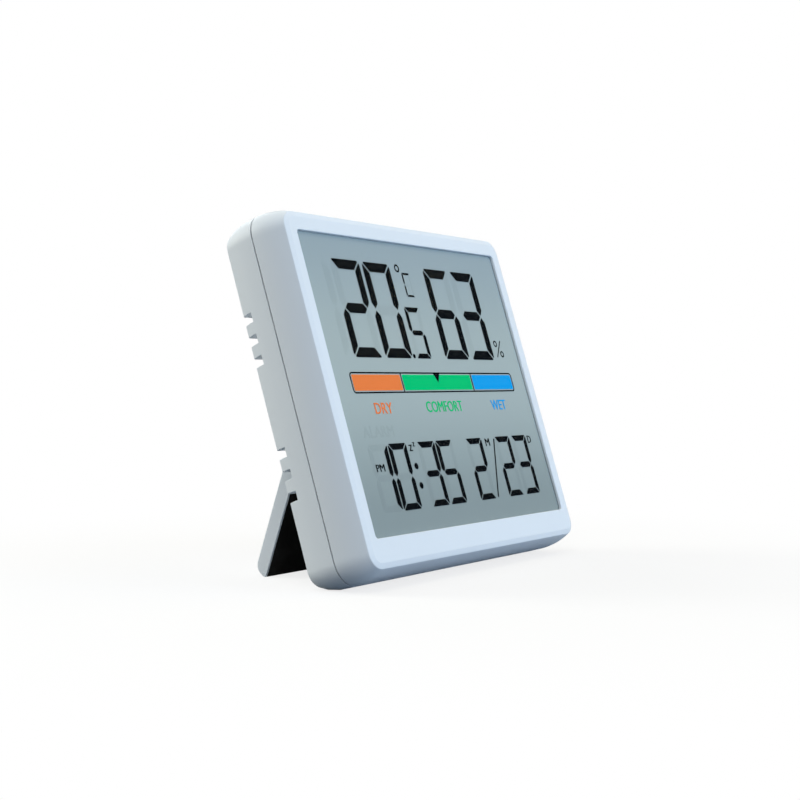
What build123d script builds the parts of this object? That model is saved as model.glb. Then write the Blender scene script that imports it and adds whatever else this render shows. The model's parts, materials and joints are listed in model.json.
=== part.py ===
"""Thermometer hygrometer clock that leans back on its fold-out stand.

Sizes are in millimetres. Every piece is drawn upright in the frame of the case: the origin is the
centre of the face, x runs to the viewer's right, y runs back from the face and z runs up the face.
The last step leans the whole clock back, so that it rests on the lower rear edge of the case and on
the foot of the stand, with the origin under the middle of it.
"""

import os
from math import atan2, cos, degrees, radians, sin, tan

from build123d import *

# Case outline
FACE_WIDTH = 84.5
FACE_HEIGHT = 72.4
FACE_CORNER = 3.4
BEVEL_INSET = 1.1
BEVEL_DEPTH = 0.3
FLARE = 1.7
FLARE_STEPS = 3
PARTING_DEPTH = 7.36
REAR_ROUND = 0.8
LEAN = 17.5

# Bends of the rear side walls, each as its place ahead of the back and its inset from the parting line
REAR_BENDS = [(4.5, 0.15), (2.1, 0.75), (0.0, 1.7)]

# Case walls and the joint between the two halves
FACE_WALL = 1.3
SIDE_WALL = 1.8
BACK_WALL = 1.5
SEAM_GAP = 0.25
LIP_LENGTH = 1.3
LIP_THICKNESS = 0.8
LIP_CLEARANCE = 0.1
LEAST_CORNER = 0.2
WALL_BITE = 0.5
HOLLOW_DRAFT = 0.9
HOLLOW_CHAMFER = 0.8

# Display window
BEZEL_SIDE = 3.3
BEZEL_TOP = 3.85
BEZEL_BOTTOM = 5.85
WINDOW_CORNER = 0.8
WINDOW_RECESS = 0.6
LENS_THICKNESS = 0.6
LENS_LAP = 1.1
LENS_CLEARANCE = 0.1

# Display stack
POLARISER_THICKNESS = 0.2
GLASS_THICKNESS = 0.55
REFLECTOR_THICKNESS = 0.2
DISPLAY_LAP = 1.4
CONTACT_LEDGE = 2.2
FILM_INSET = 0.2
HOLDER_THICKNESS = 1.8
HOLDER_BAR = 3.0
ZEBRA_LENGTH = 60.0
ZEBRA_WIDTH = 1.8
ZEBRA_CLEARANCE = 0.15

# Circuit board
BOARD_THICKNESS = 1.0
BOARD_EDGE_GAP = 0.6
BOARD_HOLE_GAP = 0.2
SCREW_FROM_SIDE = 10.4
SCREW_ABOVE_BAY = 2.0
SCREW_SHANK = 1.9
SCREW_LENGTH = 6.0
SCREW_HEAD = 3.6
SCREW_HEAD_HEIGHT = 1.1
SCREW_CLEARANCE = 0.1
BOSS_DIAMETER = 5.0

# Parts on the board
BUZZER_DIAMETER = 12.0
BUZZER_HEIGHT = 4.6
BUZZER_HOLE = 2.0
BUZZER_HOLE_DEPTH = 1.0
BUZZER_PLACE = (-18.0, -17.0)
BLOB_DIAMETER = 13.0
BLOB_HEIGHT = 1.6
BLOB_SLOPE = 60.0
BLOB_PLACE = (7.0, -17.0)
CRYSTAL_DIAMETER = 2.0
CRYSTAL_LENGTH = 6.0
CRYSTAL_PLACE = (21.0, -12.0)
SENSOR_SIZE = 3.0
SENSOR_HEIGHT = 1.1
SENSOR_HOLE = 1.2
SENSOR_HOLE_DEPTH = 0.5
SENSOR_FROM_EDGE = 3.0
CHIP_LENGTH = 1.6
CHIP_WIDTH = 0.8
CHIP_HEIGHT = 0.7
CHIP_PITCH = 2.6
CHIP_COLUMNS = 4
CHIP_ROWS = 2
CHIP_PLACE = (20.0, -18.0)

# Setting keys and their switches
KEY_LENGTH = 7.6
KEY_TALL = 4.2
KEY_PITCH = 14.0
KEY_FROM_TOP = 8.1
KEY_PROUD = 0.6
KEY_CLEARANCE = 0.2
KEY_TRAVEL = 0.5
KEY_FLANGE_LAP = 0.8
KEY_FLANGE_THICKNESS = 0.8
KEY_FLANGE_GAP = 0.05
KEY_STEM = 3.0
SWITCH_SIZE = 4.5
SWITCH_HEIGHT = 3.4
PLUNGER_DIAMETER = 2.4
PLUNGER_PROUD = 1.2
PLUNGER_CLEARANCE = 0.1
PLUNGER_HOLE_DEPTH = 2.2

# Battery bay, two size AAA cells and their contacts
CELL_DIAMETER = 10.4
CELL_LENGTH = 44.5
CELL_NUB = 3.8
CELL_NUB_LENGTH = 0.9
CELL_CHAMFER = 0.4
CELL_PITCH = 11.0
CELL_SIDE_GAP = 0.25
CELL_FLOOR_GAP = 0.1
CELL_HEADROOM = 0.35
CONTACT_THICKNESS = 0.4
CONTACT_SIZE = 8.0
LEAF_REACH = 5.0
LEAF_WIDTH = 5.0
LEAF_SPAN = 7.0
BAY_FLOOR = 0.7
BAY_WALL = 1.2
BAY_BELOW_KEYS = 4.3
BAY_FRONT_GAP = 0.15

# Battery door
DOOR_THICKNESS = 1.0
DOOR_LAP = 1.0
DOOR_CLEARANCE = 0.15
DOOR_CORNER = 1.2
DOOR_TONGUE = 0.8
DOOR_TONGUE_DEPTH = 1.2
DOOR_TONGUE_LENGTH = 8.0
DOOR_TONGUE_SPREAD = 30.0
DOOR_PULL_LENGTH = 10.0
DOOR_PULL_WIDTH = 2.4
DOOR_PULL_DEPTH = 0.6

# Side vents
VENT_WIDTH = 1.85
VENT_PITCH = 4.37
VENT_COUNT = 3
VENT_GROUP = 13.78
VENT_FROM_BACK = 2.97
VENT_RUN = 7.4

# Fold-out stand
STAND_WIDTH = 62.5
STAND_THICKNESS = 3.0
STAND_OPEN = 36.3
STAND_SIDE_GAP = 0.3
STAND_TOP_GAP = 0.4
STAND_STOP_GAP = 0.1
STAND_WALL = 1.2
HINGE_BELOW_BAY = 4.0
FOOT_SLANT = 16.0
FOOT_ROUND = 2.4
FOOT_TRIM = 0.3
PIN_DIAMETER = 2.4
PIN_LENGTH = 1.0
PIN_CLEARANCE = 0.08
LINER_THICKNESS = 0.8
LINER_RIM = 0.6
LINER_START = 4.0

# Sections of the case, each as width, height and corner radius
FACE = (FACE_WIDTH, FACE_HEIGHT, FACE_CORNER)
CASE_CORNER = FACE_CORNER + FLARE
CASE = (FACE_WIDTH + 2 * FLARE, FACE_HEIGHT + 2 * FLARE, CASE_CORNER)
CASE_HALF_WIDTH = CASE[0] / 2
CASE_HALF_HEIGHT = CASE[1] / 2

# Depths behind the face, from the front to the back
LENS_FRONT = WINDOW_RECESS
FRONT_GLASS = FACE_WALL + POLARISER_THICKNESS
REAR_GLASS = FRONT_GLASS + GLASS_THICKNESS
REFLECTOR = REAR_GLASS + GLASS_THICKNESS
HOLDER = REFLECTOR + REFLECTOR_THICKNESS
BOARD_FRONT = HOLDER + HOLDER_THICKNESS
BOARD_REAR = BOARD_FRONT + BOARD_THICKNESS
BAY_FRONT = HOLDER + BAY_FRONT_GAP
CELL_AXIS = BAY_FRONT + BAY_FLOOR + CELL_FLOOR_GAP + CELL_DIAMETER / 2
DOOR_FRONT = CELL_AXIS + CELL_DIAMETER / 2 + CELL_HEADROOM
CASE_DEPTH = DOOR_FRONT + DOOR_THICKNESS
BACK_INNER = CASE_DEPTH - BACK_WALL
REAR_START = PARTING_DEPTH + SEAM_GAP
REAR_PROFILE = [(REAR_START, 0.0)] + [(CASE_DEPTH - ahead, inset) for ahead, inset in REAR_BENDS]

# Window, measured up and down the face
WINDOW_WIDTH = FACE_WIDTH - 2 * BEZEL_SIDE
WINDOW_HEIGHT = FACE_HEIGHT - BEZEL_TOP - BEZEL_BOTTOM
WINDOW_MIDDLE = (BEZEL_BOTTOM - BEZEL_TOP) / 2
DISPLAY_WIDTH = WINDOW_WIDTH + 2 * DISPLAY_LAP
DISPLAY_TOP = WINDOW_MIDDLE + WINDOW_HEIGHT / 2 + DISPLAY_LAP
DISPLAY_LEDGE = WINDOW_MIDDLE - WINDOW_HEIGHT / 2 - DISPLAY_LAP
DISPLAY_BOTTOM = DISPLAY_LEDGE - CONTACT_LEDGE
ZEBRA_HEIGHT = DISPLAY_LEDGE - CONTACT_LEDGE / 2

# Heights on the back, from the top down
KEY_HEIGHT = CASE_HALF_HEIGHT - KEY_FROM_TOP
BAY_TOP = KEY_HEIGHT - BAY_BELOW_KEYS
BAY_TALL = CELL_PITCH + CELL_DIAMETER + 2 * CELL_SIDE_GAP
BAY_BOTTOM = BAY_TOP - BAY_TALL
BAY_MIDDLE = (BAY_TOP + BAY_BOTTOM) / 2
BAY_LENGTH = CELL_LENGTH + 2 * CONTACT_THICKNESS + LEAF_REACH
HINGE_HEIGHT = BAY_BOTTOM - HINGE_BELOW_BAY
HINGE_DEPTH = CASE_DEPTH - STAND_THICKNESS / 2
RECESS_TOP = HINGE_HEIGHT + STAND_THICKNESS / 2 + STAND_TOP_GAP
RECESS_FLOOR = HINGE_DEPTH - STAND_THICKNESS / 2 * 2 ** 0.5 - STAND_STOP_GAP
RECESS_WIDTH = STAND_WIDTH + 2 * STAND_SIDE_GAP
REAR_END = -CASE_HALF_HEIGHT - WALL_BITE

# Places of the repeated parts
SCREW_X = CASE_HALF_WIDTH - SCREW_FROM_SIDE
SCREW_TOP = BAY_TOP + BAY_WALL + SCREW_ABOVE_BAY
SCREW_PLACES = [(SCREW_X, SCREW_TOP), (-SCREW_X, SCREW_TOP), (SCREW_X, -SCREW_TOP), (-SCREW_X, -SCREW_TOP)]
KEY_NAMES = {"left": KEY_PITCH, "middle": 0.0, "right": -KEY_PITCH}
CELL_HEIGHTS = {"upper": BAY_MIDDLE + CELL_PITCH / 2, "lower": BAY_MIDDLE - CELL_PITCH / 2}


def layer(depth):
    """Sketch plane parallel to the face: x to the right, y up, negative extrusions run back."""
    return Plane.XZ.offset(-depth)


def rounded(section, inset=0.0, mode=Mode.ADD):
    """Rounded rectangle of a section of the case, drawn inside its edge by an inset."""
    width, height, corner = section
    RectangleRounded(width - 2 * inset, height - 2 * inset, max(corner - inset, LEAST_CORNER), mode=mode)


def flare_at(depth):
    """Outward growth of the side walls at a depth, which eases off towards the parting line."""
    share = (depth - BEVEL_DEPTH) / (PARTING_DEPTH - BEVEL_DEPTH)
    return FLARE * (1 - (1 - share) ** 2)


def hollow_section(depth):
    """Section of the straight-sided hollow in the front frame at a depth."""
    share = (depth - FACE_WALL) / (PARTING_DEPTH - FACE_WALL)
    start = flare_at(FACE_WALL)
    grown = start + (FLARE - start) * share - SIDE_WALL
    return FACE_WIDTH + 2 * grown, FACE_HEIGHT + 2 * grown, FACE_CORNER + grown


def stepped_walls(profile):
    """Solid between the sections of a profile, given as depths with insets from the case."""
    with BuildPart() as walls:
        for (start, inset), (end, next_inset) in zip(profile, profile[1:]):
            with BuildSketch(layer(start)):
                rounded(CASE, inset)
            extrude(amount=-(end - start), taper=degrees(atan2(next_inset - inset, end - start)))
    return walls.part


def slab(depth, thickness, width, top, bottom):
    """Plain plate parallel to the face, given by its depth, thickness, width, top and bottom."""
    with BuildPart() as plate:
        with BuildSketch(layer(depth)):
            with Locations((0, (top + bottom) / 2)):
                Rectangle(width, top - bottom)
        extrude(amount=-thickness)
    return plate.part


# Front half of the case: shallow bevel, walls whose flare eases off, window and a rebate for the lip
flare_run = PARTING_DEPTH - BEVEL_DEPTH
flare_depths = [BEVEL_DEPTH + flare_run * step / FLARE_STEPS for step in range(FLARE_STEPS + 1)]
hollow_angle = degrees(atan2(FLARE - flare_at(FACE_WALL), PARTING_DEPTH - FACE_WALL))
with BuildPart() as front_frame:
    with BuildSketch(layer(0)):
        rounded(FACE, BEVEL_INSET)
    with BuildSketch(layer(BEVEL_DEPTH)):
        rounded(FACE)
    loft(ruled=True)
    add(stepped_walls([(depth, FLARE - flare_at(depth)) for depth in flare_depths]))
    with BuildSketch(layer(FACE_WALL)):
        rounded(hollow_section(FACE_WALL))
    extrude(amount=-(PARTING_DEPTH - FACE_WALL), taper=-hollow_angle, mode=Mode.SUBTRACT)
    with BuildSketch(layer(PARTING_DEPTH - LIP_LENGTH)):
        rounded(CASE, SIDE_WALL - LIP_THICKNESS - LIP_CLEARANCE)
    extrude(amount=-LIP_LENGTH, mode=Mode.SUBTRACT)
    with BuildSketch(layer(0)):
        with Locations((0, WINDOW_MIDDLE)):
            RectangleRounded(WINDOW_WIDTH, WINDOW_HEIGHT, WINDOW_CORNER)
    extrude(amount=-FACE_WALL, mode=Mode.SUBTRACT)
    with BuildSketch(layer(LENS_FRONT)):
        with Locations((0, WINDOW_MIDDLE)):
            RectangleRounded(
                WINDOW_WIDTH + 2 * LENS_LAP + 2 * LENS_CLEARANCE,
                WINDOW_HEIGHT + 2 * LENS_LAP + 2 * LENS_CLEARANCE,
                WINDOW_CORNER,
            )
    extrude(amount=-(FACE_WALL - LENS_FRONT), mode=Mode.SUBTRACT)

with BuildPart() as window_lens:
    with BuildSketch(layer(LENS_FRONT)):
        with Locations((0, WINDOW_MIDDLE)):
            RectangleRounded(WINDOW_WIDTH + 2 * LENS_LAP, WINDOW_HEIGHT + 2 * LENS_LAP, WINDOW_CORNER)
    extrude(amount=-LENS_THICKNESS)

# Display: a film, two sheets of glass, a reflector, and the frame behind them
film_width = DISPLAY_WIDTH - 2 * FILM_INSET
film_top = DISPLAY_TOP - FILM_INSET
film_bottom = DISPLAY_LEDGE + FILM_INSET
lcd_front_polariser = slab(FACE_WALL, POLARISER_THICKNESS, film_width, film_top, film_bottom)
lcd_front_glass = slab(FRONT_GLASS, GLASS_THICKNESS, DISPLAY_WIDTH, DISPLAY_TOP, DISPLAY_BOTTOM)
lcd_rear_glass = slab(REAR_GLASS, GLASS_THICKNESS, DISPLAY_WIDTH, DISPLAY_TOP, DISPLAY_LEDGE)
lcd_reflector = slab(REFLECTOR, REFLECTOR_THICKNESS, film_width, film_top, film_bottom)

with BuildPart() as lcd_holder:
    with BuildSketch(layer(HOLDER)):
        with Locations((0, (DISPLAY_TOP + DISPLAY_BOTTOM) / 2)):
            Rectangle(DISPLAY_WIDTH, DISPLAY_TOP - DISPLAY_BOTTOM)
            Rectangle(
                DISPLAY_WIDTH - 2 * HOLDER_BAR,
                DISPLAY_TOP - DISPLAY_BOTTOM - 2 * HOLDER_BAR,
                mode=Mode.SUBTRACT,
            )
        with Locations((0, ZEBRA_HEIGHT)):
            Rectangle(
                ZEBRA_LENGTH + 2 * ZEBRA_CLEARANCE,
                ZEBRA_WIDTH + 2 * ZEBRA_CLEARANCE,
                mode=Mode.SUBTRACT,
            )
    extrude(amount=-HOLDER_THICKNESS)

with BuildPart() as zebra_strip:
    with BuildSketch(layer(REAR_GLASS)):
        with Locations((0, ZEBRA_HEIGHT)):
            Rectangle(ZEBRA_LENGTH, ZEBRA_WIDTH)
    extrude(amount=-(BOARD_FRONT - REAR_GLASS))

# Circuit board, cut out round the battery bay and drilled for its screws
board_section = hollow_section(BOARD_FRONT)
with BuildPart() as circuit_board:
    with BuildSketch(layer(BOARD_FRONT)):
        rounded(board_section, BOARD_EDGE_GAP)
        with Locations((0, BAY_MIDDLE)):
            Rectangle(
                BAY_LENGTH + 2 * BAY_WALL + 2 * BOARD_HOLE_GAP,
                BAY_TALL + 2 * BAY_WALL + 2 * BOARD_HOLE_GAP,
                mode=Mode.SUBTRACT,
            )
        with Locations(*SCREW_PLACES):
            Circle(SCREW_SHANK / 2 + SCREW_CLEARANCE, mode=Mode.SUBTRACT)
    extrude(amount=-BOARD_THICKNESS)

with BuildPart() as board_screws:
    with BuildSketch(layer(BOARD_FRONT)):
        with Locations(*SCREW_PLACES):
            Circle(SCREW_HEAD / 2)
    extrude(amount=SCREW_HEAD_HEIGHT)
    with BuildSketch(layer(BOARD_FRONT)):
        with Locations(*SCREW_PLACES):
            Circle(SCREW_SHANK / 2)
    extrude(amount=-SCREW_LENGTH)

# Parts on the back of the board
with BuildPart() as buzzer:
    with BuildSketch(layer(BOARD_REAR)):
        with Locations(BUZZER_PLACE):
            Circle(BUZZER_DIAMETER / 2)
    extrude(amount=-BUZZER_HEIGHT)
    with BuildSketch(layer(BOARD_REAR + BUZZER_HEIGHT)):
        with Locations(BUZZER_PLACE):
            Circle(BUZZER_HOLE / 2)
    extrude(amount=BUZZER_HOLE_DEPTH, mode=Mode.SUBTRACT)

# Resin drop with sloping sides over the chip
with BuildPart() as controller_blob:
    with BuildSketch(layer(BOARD_REAR)):
        with Locations(BLOB_PLACE):
            Circle(BLOB_DIAMETER / 2)
    extrude(amount=-BLOB_HEIGHT, taper=BLOB_SLOPE)

crystal_plane = Plane(
    origin=(CRYSTAL_PLACE[0] - CRYSTAL_LENGTH / 2, BOARD_REAR + CRYSTAL_DIAMETER / 2, CRYSTAL_PLACE[1]),
    z_dir=(1, 0, 0),
)
with BuildPart() as quartz_crystal:
    with BuildSketch(crystal_plane):
        Circle(CRYSTAL_DIAMETER / 2)
    extrude(amount=CRYSTAL_LENGTH)

sensor_place = (board_section[0] / 2 - BOARD_EDGE_GAP - SENSOR_FROM_EDGE, VENT_GROUP)
with BuildPart() as humidity_sensor:
    with BuildSketch(layer(BOARD_REAR)):
        with Locations(sensor_place):
            Rectangle(SENSOR_SIZE, SENSOR_SIZE)
    extrude(amount=-SENSOR_HEIGHT)
    with BuildSketch(layer(BOARD_REAR + SENSOR_HEIGHT)):
        with Locations(sensor_place):
            Circle(SENSOR_HOLE / 2)
    extrude(amount=SENSOR_HOLE_DEPTH, mode=Mode.SUBTRACT)

with BuildPart() as chip_components:
    with BuildSketch(layer(BOARD_REAR)):
        with Locations(CHIP_PLACE):
            with GridLocations(CHIP_PITCH, CHIP_PITCH, CHIP_COLUMNS, CHIP_ROWS):
                Rectangle(CHIP_LENGTH, CHIP_WIDTH)
    extrude(amount=-CHIP_HEIGHT)

# Push switches: three bodies on the board, each with a plunger that its key pushes
plunger_front = BOARD_REAR + SWITCH_HEIGHT - PLUNGER_HOLE_DEPTH + KEY_TRAVEL + PLUNGER_CLEARANCE
plunger_rear = BOARD_REAR + SWITCH_HEIGHT + PLUNGER_PROUD
with BuildPart() as switch_bodies:
    with BuildSketch(layer(BOARD_REAR)):
        with Locations((0, KEY_HEIGHT)):
            with GridLocations(KEY_PITCH, KEY_PITCH, len(KEY_NAMES), 1):
                Rectangle(SWITCH_SIZE, SWITCH_SIZE)
    extrude(amount=-SWITCH_HEIGHT)
    with BuildSketch(layer(BOARD_REAR + SWITCH_HEIGHT)):
        with Locations((0, KEY_HEIGHT)):
            with GridLocations(KEY_PITCH, KEY_PITCH, len(KEY_NAMES), 1):
                Circle(PLUNGER_DIAMETER / 2 + PLUNGER_CLEARANCE)
    extrude(amount=PLUNGER_HOLE_DEPTH, mode=Mode.SUBTRACT)


def switch_plunger(place):
    """Plunger of the switch at a sideways place."""
    with BuildPart() as plunger:
        with BuildSketch(layer(plunger_front)):
            with Locations((place, KEY_HEIGHT)):
                Circle(PLUNGER_DIAMETER / 2)
        extrude(amount=-(plunger_rear - plunger_front))
    return plunger.part


def setting_key(place):
    """Key cap at a sideways place, with a flange inside the back wall and a stem to its plunger."""
    flange_rear = BACK_INNER - KEY_FLANGE_GAP
    with BuildPart() as key:
        with BuildSketch(layer(flange_rear - KEY_FLANGE_THICKNESS)):
            with Locations((place, KEY_HEIGHT)):
                SlotOverall(KEY_LENGTH + 2 * KEY_FLANGE_LAP, KEY_TALL + 2 * KEY_FLANGE_LAP)
        extrude(amount=-KEY_FLANGE_THICKNESS)
        with BuildSketch(layer(flange_rear)):
            with Locations((place, KEY_HEIGHT)):
                SlotOverall(KEY_LENGTH, KEY_TALL)
        extrude(amount=-(CASE_DEPTH + KEY_PROUD - flange_rear))
        with BuildSketch(layer(plunger_rear)):
            with Locations((place, KEY_HEIGHT)):
                Circle(KEY_STEM / 2)
        extrude(amount=-(flange_rear - plunger_rear))
    return key.part


# Rear half of the case: the outer form and the hollow inside it
hollow_taper = degrees(atan2(HOLLOW_DRAFT, BACK_INNER - REAR_START))
with BuildPart() as rear_form:
    add(stepped_walls(REAR_PROFILE))
    fillet(rear_form.edges().group_by(Axis.Y)[-1], radius=REAR_ROUND)

with BuildPart() as rear_hollow:
    with BuildSketch(layer(REAR_START)):
        rounded(CASE, SIDE_WALL)
    extrude(amount=-(BACK_INNER - REAR_START), taper=hollow_taper)
    chamfer(rear_hollow.edges().group_by(Axis.Y)[-1], length=HOLLOW_CHAMFER)

# Walls round the stand recess, kept within the outer form
with BuildPart() as stand_tray:
    add(rear_form.part)
    with BuildSketch(layer(RECESS_FLOOR - STAND_WALL)):
        with Locations((0, (RECESS_TOP + STAND_WALL + REAR_END) / 2)):
            Rectangle(RECESS_WIDTH + 2 * STAND_WALL, RECESS_TOP + STAND_WALL - REAR_END)
    extrude(amount=-(CASE_DEPTH - RECESS_FLOOR + STAND_WALL), mode=Mode.INTERSECT)

with BuildPart() as rear_shell:
    add(rear_form.part)
    add(rear_hollow.part, mode=Mode.SUBTRACT)
    add(stand_tray.part)
    # Lip that enters the front frame
    with BuildSketch(layer(PARTING_DEPTH - LIP_LENGTH)):
        rounded(CASE, SIDE_WALL - LIP_THICKNESS)
        rounded(CASE, SIDE_WALL, mode=Mode.SUBTRACT)
    extrude(amount=-(LIP_LENGTH + SEAM_GAP + WALL_BITE))
    # Battery bay with the ledge that the door sits on
    with BuildSketch(layer(BAY_FRONT)):
        with Locations((0, BAY_MIDDLE)):
            Rectangle(BAY_LENGTH + 2 * BAY_WALL, BAY_TALL + 2 * BAY_WALL)
    extrude(amount=-(BACK_INNER + WALL_BITE - BAY_FRONT))
    with BuildSketch(layer(BAY_FRONT + BAY_FLOOR)):
        with Locations((0, BAY_MIDDLE)):
            Rectangle(BAY_LENGTH, BAY_TALL)
    extrude(amount=-(CASE_DEPTH - BAY_FRONT), mode=Mode.SUBTRACT)
    with BuildSketch(layer(DOOR_FRONT)):
        with Locations((0, BAY_MIDDLE)):
            RectangleRounded(
                BAY_LENGTH + 2 * DOOR_LAP + 2 * DOOR_CLEARANCE,
                BAY_TALL + 2 * DOOR_LAP + 2 * DOOR_CLEARANCE,
                DOOR_CORNER + DOOR_CLEARANCE,
            )
    extrude(amount=-(DOOR_THICKNESS + WALL_BITE), mode=Mode.SUBTRACT)
    # Bosses that the board is screwed to
    with BuildSketch(layer(BOARD_REAR)):
        with Locations(*SCREW_PLACES):
            Circle(BOSS_DIAMETER / 2)
    extrude(amount=-(BACK_INNER + WALL_BITE - BOARD_REAR))
    with BuildSketch(layer(BOARD_REAR)):
        with Locations(*SCREW_PLACES):
            Circle(SCREW_SHANK / 2 + SCREW_CLEARANCE)
    extrude(amount=-SCREW_LENGTH, mode=Mode.SUBTRACT)
    # Recess for the stand, open at the lower edge, with a socket for each hinge pin
    with BuildSketch(layer(RECESS_FLOOR)):
        with Locations((0, (RECESS_TOP + REAR_END) / 2)):
            Rectangle(RECESS_WIDTH, RECESS_TOP - REAR_END)
    extrude(amount=-(CASE_DEPTH - RECESS_FLOOR + WALL_BITE), mode=Mode.SUBTRACT)
    with BuildSketch(Plane(origin=(0, HINGE_DEPTH, HINGE_HEIGHT), z_dir=(1, 0, 0))):
        Circle(PIN_DIAMETER / 2 + PIN_CLEARANCE)
    extrude(amount=RECESS_WIDTH / 2 + STAND_WALL, both=True, mode=Mode.SUBTRACT)
    # Holes for the keys
    with BuildSketch(layer(BACK_INNER)):
        with Locations((0, KEY_HEIGHT)):
            with GridLocations(KEY_PITCH, KEY_PITCH, len(KEY_NAMES), 1):
                SlotOverall(KEY_LENGTH + 2 * KEY_CLEARANCE, KEY_TALL + 2 * KEY_CLEARANCE)
    extrude(amount=-(BACK_WALL + WALL_BITE), mode=Mode.SUBTRACT)
    # Vent slots through both rear side edges
    with BuildSketch(layer(CASE_DEPTH - VENT_FROM_BACK)):
        with GridLocations(2 * CASE_HALF_WIDTH - VENT_RUN, 2 * VENT_GROUP, 2, 2):
            with GridLocations(VENT_RUN, VENT_PITCH, 1, VENT_COUNT):
                Rectangle(VENT_RUN, VENT_WIDTH)
    extrude(amount=-(VENT_FROM_BACK + WALL_BITE), mode=Mode.SUBTRACT)


def battery_cell(height, side):
    """Cell at a height in the bay, with its nub towards the right for side 1 or the left for -1."""
    nub_tip = side * (BAY_LENGTH / 2 - CONTACT_THICKNESS)
    with BuildPart() as cell:
        with BuildSketch(Plane(origin=(nub_tip - side * CELL_LENGTH, CELL_AXIS, height), z_dir=(side, 0, 0))):
            Circle(CELL_DIAMETER / 2)
        extrude(amount=CELL_LENGTH - CELL_NUB_LENGTH)
        chamfer(cell.edges(), length=CELL_CHAMFER)
        with BuildSketch(Plane(origin=(nub_tip, CELL_AXIS, height), z_dir=(-side, 0, 0))):
            Circle(CELL_NUB / 2)
        extrude(amount=CELL_NUB_LENGTH)
    return cell.part


def contact(side, heights, leaf_heights):
    """Contact plate on an end wall of the bay, covering some cell heights, with a bowed leaf at others."""
    wall = side * BAY_LENGTH / 2
    face = wall - side * CONTACT_THICKNESS
    top = max(heights) + CONTACT_SIZE / 2
    bottom = min(heights) - CONTACT_SIZE / 2
    with BuildPart() as plate:
        with BuildSketch(Plane(origin=(wall, CELL_AXIS, (top + bottom) / 2), x_dir=(0, 1, 0), z_dir=(-side, 0, 0))):
            Rectangle(CONTACT_SIZE, top - bottom)
        extrude(amount=CONTACT_THICKNESS)
        for height in leaf_heights:
            tip = face - side * (LEAF_REACH - CONTACT_THICKNESS / 2)
            half = LEAF_SPAN / 2
            inner_half = half - CONTACT_THICKNESS
            inner_tip = tip + side * CONTACT_THICKNESS
            with BuildSketch(Plane.XY.offset(height)):
                with BuildLine():
                    ThreePointArc((face, CELL_AXIS - half), (tip, CELL_AXIS), (face, CELL_AXIS + half))
                    Line((face, CELL_AXIS + half), (face, CELL_AXIS + inner_half))
                    ThreePointArc(
                        (face, CELL_AXIS + inner_half),
                        (inner_tip, CELL_AXIS),
                        (face, CELL_AXIS - inner_half),
                    )
                    Line((face, CELL_AXIS - inner_half), (face, CELL_AXIS - half))
                make_face()
            extrude(amount=LEAF_WIDTH / 2, both=True)
    return plate.part


# Battery door with two tongues at its lower edge, one at its upper edge and a finger pull
with BuildPart() as battery_door:
    with BuildSketch(layer(DOOR_FRONT)):
        with Locations((0, BAY_MIDDLE)):
            RectangleRounded(BAY_LENGTH + 2 * DOOR_LAP, BAY_TALL + 2 * DOOR_LAP, DOOR_CORNER)
    extrude(amount=-DOOR_THICKNESS)
    with BuildSketch(layer(DOOR_FRONT)):
        with Locations((0, BAY_BOTTOM + DOOR_CLEARANCE + DOOR_TONGUE / 2)):
            with GridLocations(DOOR_TONGUE_SPREAD, DOOR_TONGUE, 2, 1):
                Rectangle(DOOR_TONGUE_LENGTH, DOOR_TONGUE)
        with Locations((0, BAY_TOP - 2 * DOOR_CLEARANCE - DOOR_TONGUE / 2)):
            Rectangle(DOOR_TONGUE_LENGTH, DOOR_TONGUE)
    extrude(amount=DOOR_TONGUE_DEPTH)
    with BuildSketch(layer(CASE_DEPTH)):
        with Locations((0, BAY_TOP - DOOR_PULL_WIDTH)):
            SlotOverall(DOOR_PULL_LENGTH, DOOR_PULL_WIDTH)
    extrude(amount=DOOR_PULL_DEPTH, mode=Mode.SUBTRACT)

# The floor touches the lowest bend of the rear walls once the clock leans back
lean = radians(LEAN)
floor = min((inset - CASE_HALF_HEIGHT) * cos(lean) - depth * sin(lean) for depth, inset in REAR_PROFILE)

# The open stand stands at this angle to the upright, so this length brings its foot to the floor
splay = radians(STAND_OPEN - LEAN)
half = STAND_THICKNESS / 2
hinge_rise = HINGE_HEIGHT * cos(lean) - HINGE_DEPTH * sin(lean) - floor
stand_length = (hinge_rise + FOOT_TRIM - half * sin(splay)) / cos(splay)
slant = radians(FOOT_SLANT)
trim_run = FOOT_TRIM / sin(slant + splay)
opened = radians(STAND_OPEN)
stand_plane = Plane(
    origin=(0, HINGE_DEPTH, HINGE_HEIGHT),
    x_dir=(0, cos(opened), sin(opened)),
    z_dir=(1, 0, 0),
)


def flap_section():
    """Side view of the stand: outer side to the right, hinge at the origin, foot at the bottom."""
    with BuildSketch() as section:
        with BuildLine():
            Polyline(
                (0, half),
                (-half, half),
                (-half, -stand_length + FOOT_TRIM / cos(splay)),
                (-half + trim_run * cos(slant), -stand_length + trim_run * sin(slant)),
                (half, -stand_length + STAND_THICKNESS * tan(slant)),
                (half, 0),
            )
            RadiusArc((half, 0), (0, half), -half)
        make_face()
        fillet(section.vertices().sort_by(lambda v: v.X - v.Y)[-1], radius=min(FOOT_ROUND, half * 1.6))
    return section.sketch


liner_width = STAND_WIDTH - 2 * LINER_RIM
flap = flap_section()
with BuildPart() as stand_liner:
    with BuildSketch(stand_plane):
        add(flap)
        with Locations((LINER_THICKNESS - half, -LINER_START)):
            Rectangle(
                2 * STAND_THICKNESS,
                2 * stand_length,
                align=(Align.MAX, Align.MAX),
                mode=Mode.INTERSECT,
            )
    extrude(amount=liner_width / 2, both=True)

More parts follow.
